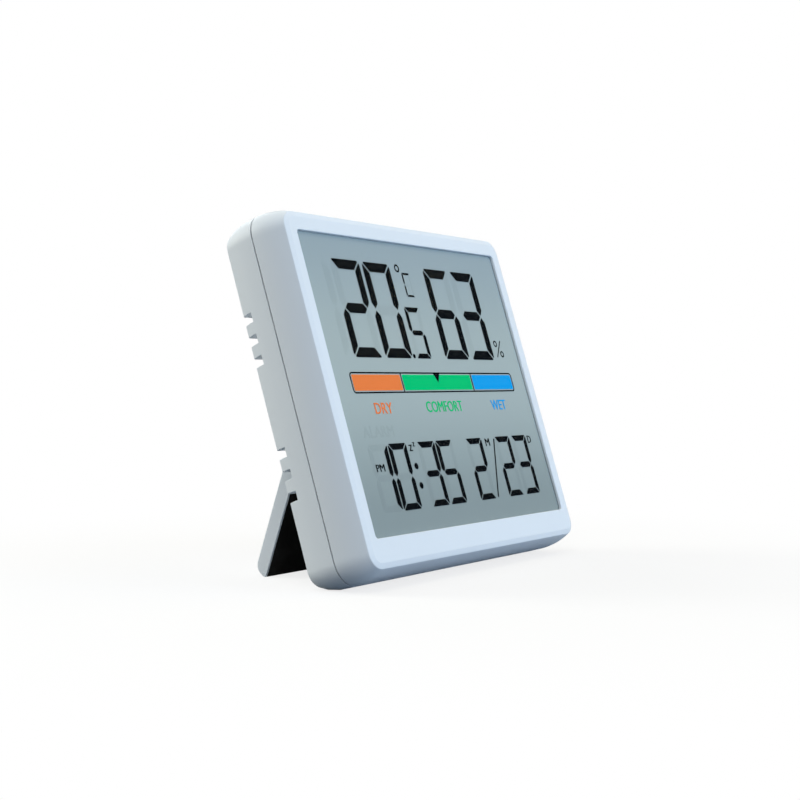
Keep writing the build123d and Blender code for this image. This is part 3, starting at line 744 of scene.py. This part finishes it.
@dataclass(frozen=True)
class Display:
    """Everything that the display shows, in millimetres from the centre of the face.

    The lens bends light, so that the display seems to lie closer to the face than it does. The finish of
    the lens passes light straight through, and so the picture is drawn at the depth where it is seen.
    """

    frame: CaseFrame
    depth: float = 0.68
    thick: float = 0.03
    lap: float = 0.8
    ghost_sunk: float = 0.05
    pointer_lift: float = 0.01
    big: DigitStyle = DigitStyle(10.31, 21.03, 2.14, 0.36, 0.8)
    tenth: DigitStyle = DigitStyle(5.88, 11.56, 1.12, 0.26, 0.45)
    small: DigitStyle = DigitStyle(6.73, 13.80, 1.32, 0.26, 0.5)
    unit: DigitStyle = DigitStyle(3.19, 5.48, 0.45, 0.2, 0.2)
    # Digits: style, height of the foot, and each sign with its left edge
    rows: tuple = (
        (big, 6.26, (("2", -29.27), ("0", -17.96), ("6", 5.88), ("3", 17.31))),
        (tenth, 6.26, (("5", -5.96),)),
        (unit, 20.25, (("C", -3.31),)),
        (small, -25.68, (("1", -33.01), ("0", -25.88), ("3", -14.97), ("5", -7.85))),
        (small, -25.68, (("2", 4.81), ("2", 17.51), ("3", 25.23))),
    )
    hundred: Place = (-32.36, 6.26)
    # Decimal point and colon: centre and radius
    dots: tuple = (((-6.90, 6.75), 0.5), ((-17.30, -16.91), 0.68), ((-17.30, -21.00), 0.68))
    # Degree and per cent signs: centre, outer and inner radius
    rings: tuple = (((-4.66, 26.63), 0.92, 0.55), ((29.87, 10.24), 0.78, 0.46), ((31.91, 7.75), 0.78, 0.46))
    # Strokes of the per cent sign and the date: start, end and width
    strokes: tuple = (((29.42, 7.00), (32.41, 10.99), 0.3), ((12.38, -25.38), (17.16, -12.33), 0.42))
    # Comfort bar with its fields, dividers and pointer
    bar_centre: Place = (0.17, 0.92)
    bar_size: Place = (66.07, 4.48)
    bar_corners: Place = (0.9, 0.62)
    bar_line: float = 0.3
    fields: tuple = (
        (Layer.ORANGE, -32.26, -14.72), (Layer.GREEN, -13.88, 13.97), (Layer.BLUE, 14.82, 32.66),
    )
    field_margin: float = 1.1
    field_corner: float = 0.25
    field_steps: int = 4
    dividers: Place = (-14.31, 14.39)
    pointer_tip: Place = (-0.03, 0.82)
    pointer_top: float = 2.92
    pointer_half: float = 1.3
    # Generic words and marks, with the middle and the size of each one's box
    legends: tuple = (
        (Layer.UNLIT, "ALARM", (-27.7, -9.25), (10.9, 2.4)),
        (Layer.ORANGE, "DRY", (-23.74, -4.46), (6.3, 2.3)),
        (Layer.GREEN, "COMFORT", (-0.03, -4.46), (14.8, 2.4)),
        (Layer.BLUE, "WET", (23.64, -4.46), (6.6, 2.3)),
        (Layer.LIT, "PM", (-30.37, -16.66), (2.9, 1.5)),
        (Layer.LIT, "M", (13.97, -12.98), (1.8, 1.7)),
        (Layer.LIT, "D", (33.55, -12.98), (1.6, 1.7)),
        (Layer.LIT, "z", (-17.66, -13.03), (1.15, 1.35)),
        (Layer.LIT, "z", (-16.27, -12.33), (0.8, 0.9)),
    )

    def sheet(self, lift: float) -> Sheet:
        """Empty sheet at the display's depth, lifted towards the viewer."""
        return Sheet(self.depth - lift, self.depth + self.thick - lift)

    def signs(self, sheets: Sheets) -> None:
        """Digits, dots, rings and strokes, with the bars that are off as a faint ghost."""
        lit, unlit = sheets[Layer.LIT], sheets[Layer.UNLIT]
        for style, foot, places in self.rows:
            for sign, left in places:
                for segment, outline in style.outlines().items():
                    (lit if segment.value in DIGITS[sign] else unlit).plate(outline + (left, foot))
        bars = self.big.outlines()
        for segment in (Segment.UPPER_LEFT, Segment.LOWER_LEFT):
            unlit.plate(bars[segment] + self.hundred)
        for centre, radius in self.dots:
            lit.plate(circle(centre, radius))
        for centre, *radii in self.rings:
            lit.band(*(circle(centre, radius) for radius in radii))
        for stroke in self.strokes:
            lit.stroke(*stroke)

    def comfort_bar(self, sheets: Sheets) -> None:
        """Outlined bar with three coloured fields, dividers and a pointer."""
        lit = sheets[Layer.LIT]
        wide, tall = self.bar_size
        middle = self.bar_centre[1]
        inside = (wide - 2 * self.bar_line, tall - 2 * self.bar_line)
        lit.band(
            rounded_outline(self.bar_centre, self.bar_size, self.bar_corners[0]),
            rounded_outline(self.bar_centre, inside, self.bar_corners[1]),
        )
        for layer, left, right in self.fields:
            centre, size = ((left + right) / 2, middle), (right - left, tall - self.field_margin)
            sheets[layer].plate(rounded_outline(centre, size, self.field_corner, self.field_steps))
        reach = tall / 2 - self.bar_line
        for x in self.dividers:
            lit.stroke((x, middle - reach), (x, middle + reach), self.bar_line)
        tip, half, top = self.pointer_tip, self.pointer_half, self.pointer_top
        sheets[Layer.POINTER].plate(np.array([tip, (tip[0] + half, top), (tip[0] - half, top)]))

    def build(self, finishes: dict[Layer, Material]) -> None:
        """Draws every layer as one piece on the case, with its own finish."""
        lifts = {
            Layer.GROUND: -2 * self.thick, Layer.UNLIT: -self.ghost_sunk, Layer.POINTER: self.pointer_lift,
        }
        sheets = {layer: self.sheet(lifts.get(layer, 0.0)) for layer in Layer}
        size = np.array(WINDOW) + 2 * self.lap
        sheets[Layer.GROUND].plate(rounded_outline((0, WINDOW_MIDDLE), size, self.lap))
        self.signs(sheets)
        self.comfort_bar(sheets)
        for layer, text, centre, box in self.legends:
            sheets[layer].words(text, centre, box)
        for layer, sheet in sheets.items():
            sheet.make(self.frame, layer.value, finishes[layer], "polariser_film")


@dataclass(frozen=True)
class CaseSkin:
    """Outer form of the case: a rounded rectangle that grows to the seam and draws in again to the back."""

    width: float = 84.5
    height: float = 72.4
    corner: float = 3.4
    corner_steps: int = 10
    corner_guard: float = 0.4
    bevel_inset: float = 1.1
    bevel_depth: float = 0.3
    flare: float = 1.7
    seam: float = 7.36
    rear_depths: tuple[float, ...] = (7.36, 9.3, 12.2, 14.45, 15.1)
    rear_tilts: tuple[float, ...] = (0.0, 2.5, 14.0, 24.3, 26.0)

    def growth(self, depth: Points) -> Points:
        """Outward growth of the front walls: the flare times one less the square of the way to the seam."""
        share = (np.asarray(depth, float) - self.bevel_depth) / (self.seam - self.bevel_depth)
        return self.flare * (1 - (1 - share) ** 2)

    def outline(self, middle: float, size: Points, corner: float, depth: float) -> Points:
        """Rounded rectangle about a height of the face, at a depth in the case frame."""
        flat = rounded_outline((0, middle), size, corner, self.corner_steps, self.corner_guard)
        return np.insert(flat, 1, depth, axis=1)

    def ring(self, growth: float, depth: float) -> Points:
        """Outline of the face, grown by a distance, at a depth in the case frame."""
        size = np.array([self.width, self.height]) + 2 * growth
        return self.outline(0, size, self.corner + growth, depth)

    def rear_normals(self, points: Points) -> Points:
        """Outward directions of the rear walls.

        A point is drawn back to the rectangle of the corners' centres, which gives its direction in the
        plane of the face, and that direction turns backwards by a tilt that grows with the depth.

        Args:
            points: places on the walls in the case frame.

        Returns:
            One unit direction of the case frame for each point.
        """
        reach = np.array([self.width, self.height]) / 2 - self.corner
        flat = points[:, [0, 2]]
        out = flat - np.clip(flat, -reach, reach)
        out /= np.maximum(np.linalg.norm(out, axis=1, keepdims=True), TINY)
        tilt = np.radians(np.interp(points[:, 1], self.rear_depths, self.rear_tilts))[:, None]
        return np.concatenate([out[:, :1] * np.cos(tilt), np.sin(tilt), out[:, 1:] * np.cos(tilt)], 1)


def lofted(name: str, rings: list[Points], material: Material, frame: CaseFrame) -> Object:
    """Piece on the case whose faces join each ring of points to the next, and the last to the first."""
    count = len(rings[0])
    here = np.arange(count)
    after = np.roll(here, -1)
    pairs = [(number * count, (number + 1) % len(rings) * count) for number in range(len(rings))]
    quads = [np.stack([here + a, here + b, after + b, after + a], 1) for a, b in pairs]
    return piece(name, frame.world(np.concatenate(rings)), np.concatenate(quads).tolist(), material, "case")


@dataclass(frozen=True)
class SeamShadeStrip:
    """Dark strip in the gap between the halves of the case: painted shade that keeps the gap dark."""

    frame: CaseFrame
    skin: CaseSkin = CaseSkin()
    gap: float = 0.14
    clear: float = 0.015
    sunk: float = 0.16
    tall: float = 0.5

    def build(self, material: Material) -> Object:
        """Four rings round the case, joined into a closed strip."""
        outer, inner = self.skin.flare - self.sunk, self.skin.flare - self.sunk - self.tall
        near, far = self.skin.seam + self.clear, self.skin.seam + self.gap - self.clear
        places = [(outer, far), (outer, near), (inner, near), (inner, far)]
        made = lofted("seam_shade_strip", [self.skin.ring(*place) for place in places], material, self.frame)
        return made


@dataclass(frozen=True)
class KeyMarks:
    """Raised marks on the back above the setting keys, to be read from behind."""

    frame: CaseFrame
    raised: float = 0.12
    sunk: float = 0.1
    pitch: float = 14.0
    height: float = 33.5
    word: Place = (4.6, 1.5)
    arm: float = 0.85
    line: float = 0.34

    def build(self, material: Material) -> Object:
        """A word for the setting key, a plus for the middle one and a minus for the other."""
        marks = Sheet(BACK_DEPTH - self.sunk, BACK_DEPTH + self.raised)
        z = self.height
        marks.words("SET", (self.pitch, z), (-self.word[0], self.word[1]), bold=0.0)
        for x in (0.0, -self.pitch):
            marks.stroke((x - self.arm, z), (x + self.arm, z), self.line)
        for sign in (-1, 1):
            marks.stroke((0.0, z + sign * self.line / 2), (0.0, z + sign * self.arm), self.line)
        return marks.make(self.frame, "key_marks", material, "case_white")


@dataclass(frozen=True)
class FrontFrame:
    """Front half of the case: one profile carried round the face, with the window cut in it."""

    frame: CaseFrame
    skin: CaseSkin = CaseSkin()
    window_corner: float = 0.8
    window_round: float = 0.18
    window_steps: int = 5
    recess: float = 0.6
    pocket: float = 1.2
    face_wall: float = 1.3
    rim: float = 0.9
    rim_depth: float = 1.3
    hollow: Place = (-1.353, -0.369)
    edge: float = 0.04
    ridge: float = 0.14
    ridge_shape: tuple[Place, ...] = ((0.14, 0.3), (-0.35, -0.02))
    flare_steps: int = 12

    def opening(self, growth: float, depth: float) -> Points:
        """Outline of the window, grown by a distance, at a depth."""
        size = np.array(WINDOW) + 2 * growth
        return self.skin.outline(WINDOW_MIDDLE, size, self.window_corner + max(growth, 0.0), depth)

    def rings(self) -> tuple[list[Points], list[int]]:
        """Sections from the seam over the walls, bevel and bezel to the window, and back inside.

        The walls follow the skin's growth, the ridge above them and the edge of the window are quarter
        rounds of a few sections, and the bevel and bezel are flat.

        Returns:
            The closed rings in order, and the numbers of those that are creases.
        """
        skin = self.skin
        depths = np.linspace(skin.seam - self.edge, skin.bevel_depth + self.ridge, self.flare_steps)
        outer = [(skin.flare - self.rim, skin.seam), (skin.flare - self.edge, skin.seam)]
        outer += [(float(skin.growth(depth)), float(depth)) for depth in depths]
        slope = skin.bevel_depth / skin.bevel_inset
        outer += [(self.ridge * out, skin.bevel_depth + self.ridge * back) for out, back in self.ridge_shape]
        outer += [(-self.ridge, skin.bevel_depth - self.ridge * slope), (-skin.bevel_inset, 0.0)]
        turn = np.linspace(0, np.pi / 2, self.window_steps)
        mouth = self.window_round * np.stack([1 - np.sin(turn), 1 - np.cos(turn)], 1)
        inner = [(float(out), float(depth)) for out, depth in mouth]
        inner += [(0.0, self.recess), (self.pocket, self.recess), (self.pocket, self.face_wall)]
        hidden = [
            (self.hollow[0], self.face_wall),
            (self.hollow[1], skin.seam - self.rim_depth),
            (skin.flare - self.rim, skin.seam - self.rim_depth),
        ]
        rings = [skin.ring(*place) for place in outer] + [self.opening(*place) for place in inner]
        rings += [skin.ring(*place) for place in hidden]
        last = len(outer) - 1
        creases = [0, 1, 2, last, last + 1, *range(last + self.window_steps, len(rings))]
        return rings, creases

    def build(self, material: Material) -> Object:
        """Joins each ring to the next and the last to the first, and stands in for the node."""
        rings, creases = self.rings()
        made = lofted("front_frame_moulding", rings, material, self.frame)
        mesh = made.data
        mesh.shade_smooth()
        ring = gathered(mesh.edges, "vertices", 2, int) // len(rings[0])
        sharp = (ring[:, 0] == ring[:, 1]) & np.isin(ring[:, 0], creases)
        mesh.attributes.new("sharp_edge", "BOOLEAN", "EDGE").data.foreach_set("value", sharp)
        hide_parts("front_frame")
        return made


@dataclass(frozen=True)
class SoftEdged:
    """Smooth copy of a CAD solid whose sharp edges get the small radius of a moulding, in metres."""

    node: str
    body: str
    slot: str
    radius: float = 0.00012
    segments: int = 2
    sharp: float = radians(24)
    seam_share: float = 0.35
    seam_reach: float = 0.4
    merge: float = 2e-6
    level: float = radians(0.6)
    flat_weight: int = 100
    walls: bool = False
    wall_turn: float = radians(16)

    def mark(self, work: bmesh.types.BMesh, frame: CaseFrame, skin: CaseSkin) -> None:
        """Gives a bevel weight to sharp edges, and a smaller one to those along the seam."""
        weight = work.edges.layers.float.new("bevel_weight_edge")
        for edge in work.edges:
            depth = min(frame.local(vert.co)[1] for vert in edge.verts)
            share = self.seam_share if depth < skin.seam + self.seam_reach else 1.0
            edge[weight] = share if edge.calc_face_angle(0.0) > self.sharp else 0.0

    def smooth_walls(self, mesh: Mesh, frame: CaseFrame, skin: CaseSkin) -> None:
        """Gives the corners of the outer rear walls the skin's own directions as normals."""
        normals = gathered(mesh.corner_normals, "vector", 3)
        corners = gathered(mesh.loops, "vertex_index", 1, int)[:, 0]
        points = frame.local(gathered(mesh.vertices, "co", 3))[corners]
        totals = gathered(mesh.polygons, "loop_total", 1, int)[:, 0]
        facing = np.repeat(gathered(mesh.polygons, "normal", 3), totals, axis=0)
        smooth = skin.rear_normals(points) @ frame.axes()
        alike = (facing * smooth).sum(1) > cos(self.wall_turn)
        normals[alike] = smooth[alike]
        mesh.normals_split_custom_set(normals.tolist())

    def build(self, nodes: dict, material: Material, frame: CaseFrame) -> Object:
        """Copies the node's mesh, merges it, rounds its edges and stands it in for the node.

        Args:
            nodes: the CAD objects by name.
            material: its finish.
            frame: place and lean of the case.

        Returns:
            The new object, which rides on the node's body.
        """
        skin = CaseSkin()
        mesh = nodes[self.node].data.copy()
        mesh.materials.clear()
        mesh.materials.append(material)
        work = bmesh.new()
        work.from_mesh(mesh)
        bmesh.ops.remove_doubles(work, verts=work.verts, dist=self.merge)
        bmesh.ops.dissolve_limit(work, angle_limit=self.level, verts=work.verts, edges=work.edges)
        self.mark(work, frame, skin)
        work.to_mesh(mesh)
        work.free()
        mesh.shade_smooth()
        made = linked(self.node + "_moulding", mesh)
        bevel = made.modifiers.new("edge", "BEVEL")
        bevel.width = self.radius
        bevel.segments = self.segments
        bevel.limit_method = "WEIGHT"
        bevel.use_clamp_overlap = False
        shade = made.modifiers.new("shade", "WEIGHTED_NORMAL")
        shade.weight = self.flat_weight
        if self.walls:
            view = bpy.context.evaluated_depsgraph_get()
            rounded = bpy.data.meshes.new_from_object(made.evaluated_get(view))
            made.modifiers.clear()
            made.data = rounded
            self.smooth_walls(rounded, frame, skin)
        made.data.name = made.name
        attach(made, self.body)
        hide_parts(self.node)
        log.info("%s stands for its node", made.name)
        return made


@dataclass(frozen=True)
class Lamp:
    """Round soft lamp that faces the clock."""

    name: str
    place: Spot
    size: float
    power: float
    colour: Colour
    aim: Spot = (0.0, 0.0, 0.035)

    def build(self) -> None:
        """Adds the lamp at its place, turned to its aim."""
        data = bpy.data.lights.new(self.name, "AREA")
        data.shape = "DISK"
        data.size = self.size
        data.energy = self.power
        data.color = self.colour
        made = linked(self.name, data)
        made.location = self.place
        made.rotation_euler = (Vector(self.aim) - Vector(self.place)).to_track_quat("-Z", "Y").to_euler()


@dataclass(frozen=True)
class Studio:
    """Floor, soft lights and the photograph's camera, whose eye and axes are in the case frame."""

    frame: CaseFrame
    eye: Spot = (-275.08, -159.85, -48.83)
    right: Spot = (0.543104, -0.800950, -0.252026)
    down: Spot = (-0.011793, 0.292845, -0.956087)
    lens: float = 67.40
    sensor: float = 36.0
    nearest: float = 0.01
    floor_half: float = 6.0
    floor_light: Colour = (0.1, 0.13, 0.17)
    floor_seen: Colour = (0.95, 0.95, 0.95)
    near_white: float = 0.78
    white_rise: Place = (0.05, 0.16)
    fill: Colour = (0.96, 1.0, 1.0)
    fill_strength: float = 0.24
    lamps: tuple[Lamp, ...] = (
        Lamp("front", (0.2, -1.0, 0.2), 0.8, 9.3, (0.61, 0.78, 1.0)),
        Lamp("front_high", (0.65, -0.6, 0.8), 1.1, 3.05, (1.0, 0.78, 0.28)),
        Lamp("left_high", (-0.75, -0.4, 0.85), 0.6, 4.05, (1.0, 1.0, 0.97)),
        Lamp("left_back", (-0.42, 0.95, 0.42), 0.6, 6.5, (1.0, 0.94, 0.79)),
        Lamp("left_back_high", (-0.5, 0.75, 0.85), 0.6, 2.0, (0.8, 1.0, 1.0)),
        Lamp("back", (0.45, 0.85, 0.6), 0.35, 1.0, (0.9, 0.93, 1.0)),
        Lamp("top", (-0.1, 0.3, 1.1), 0.6, 1.0, (0.78, 0.82, 1.0)),
    )

    def camera(self) -> None:
        """Camera at the fitted eye, turned to the fitted axes."""
        data = bpy.data.cameras.new("photo_camera")
        data.sensor_width = self.sensor
        data.lens = self.lens
        data.clip_start = self.nearest
        axes = self.frame.world(np.array([self.right, self.down])) - np.array(self.frame.origin)
        across, drop = (Vector(axis).normalized() for axis in axes)
        rise = -drop
        turn = Matrix((across, rise, across.cross(rise))).transposed().to_4x4()
        turn.translation = Vector(self.frame.world(np.array(self.eye)))
        made = linked("photo_camera", data)
        made.matrix_world = turn
        bpy.context.scene.camera = made

    def floor(self) -> None:
        """Wide pale floor that keeps the shadow, gives back little light, and is plain white further out."""
        graph = Graph("floor_paper")
        reach = graph.node("ShaderNodeVectorMath", {"operation": "LENGTH"}, {0: graph.where()}, "Value")
        seen = graph.seen()
        shade = graph.mix(seen, self.floor_light, self.floor_seen)
        matt = graph.node("ShaderNodeBsdfDiffuse", {}, {"Color": shade})
        glow = graph.node("ShaderNodeEmission", {}, {"Color": WHITE, "Strength": 1.0})
        camera = graph.node("ShaderNodeLightPath", {}, {}, "Is Camera Ray")
        far = reach.ramp(*self.white_rise)
        white = seen * (far + camera * (1 - far) * self.near_white)
        material = graph.surface(graph.node("ShaderNodeMixShader", {}, {0: white, 1: matt, 2: glow}))
        corners = self.floor_half * np.array([(-1, -1, 0), (1, -1, 0), (1, 1, 0), (-1, 1, 0)])
        surfaced("floor", corners, [[0, 1, 2, 3]], material)

    def sky(self) -> None:
        """White surround for what is seen and a softer one for the light on the object."""
        graph = Graph("surround", "worlds")
        soft = {"Color": self.fill, "Strength": self.fill_strength}
        fill = graph.node("ShaderNodeBackground", {}, soft)
        white = graph.node("ShaderNodeBackground", {}, {"Color": WHITE, "Strength": 1.0})
        mixed = graph.node("ShaderNodeMixShader", {}, {0: graph.seen(), 1: fill, 2: white})
        bpy.context.scene.world = graph.surface(mixed)

    def build(self) -> None:
        """Sets up the view, the light and the floor."""
        bpy.context.scene.view_settings.view_transform = "Standard"
        self.camera()
        self.floor()
        self.sky()
        for lamp in self.lamps:
            lamp.build()


class Clock:
    """The whole clock: its case, display, keys, cells and board."""

    def __init__(self, frame: dict) -> None:
        """Keeps the loaded frame and works out the lean of the case."""
        self.nodes = frame["nodes"]
        self.case = CaseFrame.from_record(frame["record"], BACK_DEPTH)

    def dress(self, finish: Finish, *names: str) -> None:
        """Gives CAD nodes a finish."""
        material = finish.build()
        for name in names:
            mesh = self.nodes[name].data
            mesh.materials.clear()
            mesh.materials.append(material)
            log.info("%s: %s", name, material.name)

    def build_case(self) -> None:
        """Front, back, door, stand and keys."""
        white = Moulding("case_plastic", srgb(228, 235, 243)).build()
        FrontFrame(self.case).build(white)
        SoftEdged("rear_shell", "case", "case_white", walls=True).build(self.nodes, white, self.case)
        SoftEdged("battery_door", "battery_door", "case_white").build(self.nodes, white, self.case)
        SoftEdged("stand", "stand", "case_white", radius=0.00015).build(self.nodes, white, self.case)
        grey = Moulding("key_plastic", srgb(196, 202, 210), roughness=0.38).build()
        for side in KEY_SIDES:
            key = SoftEdged("key_" + side, "key_" + side, "key_grey", radius=0.0003, segments=3)
            key.build(self.nodes, grey, self.case)
        # The stand's liner is near-black as painted shade, which stands in for the deep shade on the stand's
        # inner face.
        rubber = Rubber("liner_rubber", (0.003, 0.003, 0.003))
        self.dress(rubber, "stand_liner")
        # The seam's painted shade takes the near-black finish of the stand's liner.
        SeamShadeStrip(self.case).build(self.nodes["stand_liner"].data.materials[0])
        KeyMarks(self.case).build(white)

    def build_display(self) -> None:
        """Film, print and lens of the display."""
        low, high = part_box("window_lens")
        # The film's top and bottom colours are darker as painted shade, and the middle is its own colour.
        top, middle, bottom = srgb(159, 173, 179), srgb(176, 187, 186), srgb(145, 156, 157)
        film = DisplayFilm("display_film_painted_shade", top, middle, bottom, low.z, high.z)
        self.dress(Ink("polariser_film", srgb(160, 172, 178), roughness=0.3), "lcd_front_polariser")
        self.dress(ClearPlastic("lens_plastic", (0.992, 0.995, 0.995)), "window_lens")
        black = Ink("segment_black", srgb(8, 12, 16)).build()
        finishes = {
            Layer.GROUND: film.build(),
            Layer.LIT: black,
            Layer.POINTER: black,
            # The unlit bars take the film's painted shade with them.
            Layer.UNLIT: film.dimmed("segment_off", share=0.93).build(),
            Layer.ORANGE: Ink("field_orange", srgb(252, 135, 72)).build(),
            Layer.GREEN: Ink("field_green", srgb(3, 205, 122)).build(),
            Layer.BLUE: Ink("field_blue", srgb(22, 167, 241)).build(),
        }
        Display(self.case).build(finishes)

    def build_inside(self) -> None:
        """Finishes of the parts inside the case."""
        glass = ClearPlastic("display_glass", (0.9, 0.95, 0.94), face_on=0.04, edge_on=0.96)
        self.dress(glass, "lcd_front_glass", "lcd_rear_glass")
        self.dress(Ink("reflector_foil", srgb(170, 186, 188), roughness=0.3), "lcd_reflector")
        self.dress(Moulding("holder_plastic", srgb(214, 214, 208)), "lcd_holder")
        self.dress(Rubber("zebra_rubber", (0.05, 0.05, 0.06)), "zebra_strip")
        self.dress(SolderMask("solder_mask", (0.02, 0.14, 0.06), (0.05, 0.26, 0.11)), "circuit_board")
        contacts = ("positive_contact", "negative_contact", "bridge_contact")
        plate = PlatedSteel("plated_steel", (0.72, 0.71, 0.69))
        self.dress(plate, "board_screws", "quartz_crystal", *contacts)
        resin = Rubber("black_resin", (0.012, 0.012, 0.013), grain=4200.0)
        self.dress(resin, "controller_blob", "humidity_sensor", "buzzer", "switch_bodies")
        self.dress(Ink("chip_ceramic", srgb(150, 126, 98)), "chip_components")
        plunger = Moulding("plunger_plastic", srgb(225, 225, 220))
        self.dress(plunger, *("switch_plunger_" + side for side in KEY_SIDES))
        blue, silver = (0.02, 0.075, 0.2), (0.55, 0.57, 0.6)
        for name, side in (("upper", 1), ("lower", -1)):
            low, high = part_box("battery_" + name)
            half = max(abs(low.x), abs(high.x))
            self.dress(CellSleeve("cell_sleeve_" + name, blue, silver, half, side), "battery_" + name)


def main() -> None:
    """Builds the clock and its studio in order."""
    logging.basicConfig(level=logging.INFO, format="%(name)s %(message)s")
    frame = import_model()
    clock = Clock(frame)
    clock.build_case()
    clock.build_display()
    clock.build_inside()
    Studio(clock.case).build()


if __name__ == "__main__":
    main()
